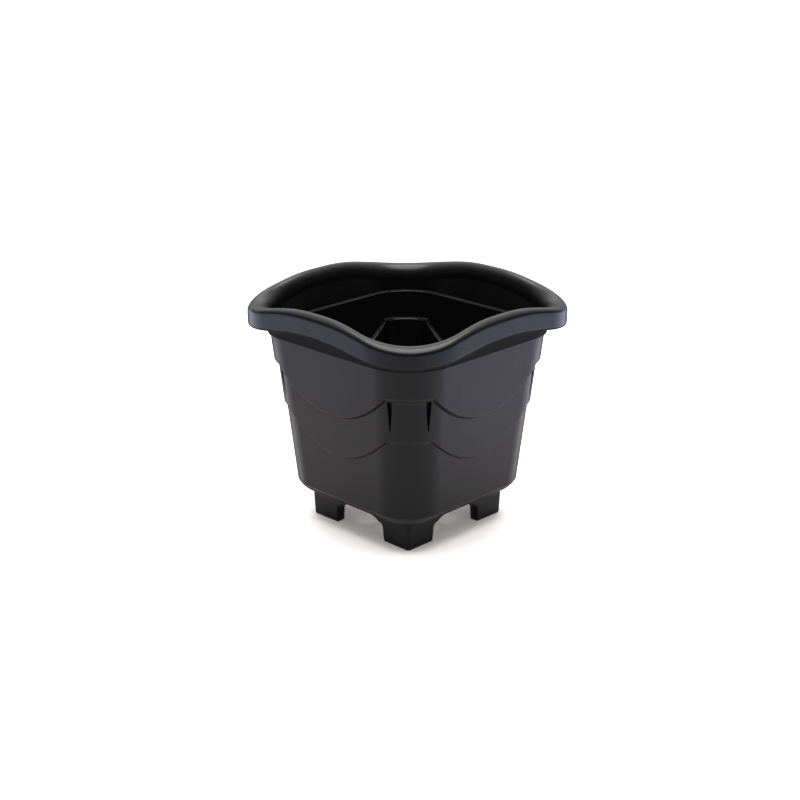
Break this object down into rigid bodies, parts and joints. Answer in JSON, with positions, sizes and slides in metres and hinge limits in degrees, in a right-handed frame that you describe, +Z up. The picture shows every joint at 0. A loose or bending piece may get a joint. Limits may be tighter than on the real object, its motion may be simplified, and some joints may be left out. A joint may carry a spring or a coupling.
{
  "type": "florist bucket",
  "caption": "Square tapering plastic bucket for flowers, with draped steps on its sides, a wavy rolled rim and corner feet.",
  "frame": {"origin": "bottom centre of the bucket, on the plane that the four feet stand on", "axes": "+Z up along the bucket's centre line; the sides are parallel to X and Y"},
  "size_m": [0.217, 0.217, 0.1998],
  "materials": {
    "satin_shell": "satin black moulded polypropylene",
    "polished_rim": "semi-gloss black moulded polypropylene",
    "satin_floor": "matte black moulded polypropylene",
    "satin_feet": "satin black moulded polypropylene"
  },
  "bodies": {
    "root": {"body_shell": "satin_shell", "rim_collar": "polished_rim", "floor_plate": "satin_floor", "foot_front_left": "satin_feet", "foot_front_right": "satin_feet", "foot_back_right": "satin_feet", "foot_back_left": "satin_feet"}
  },
  "joints": []
}
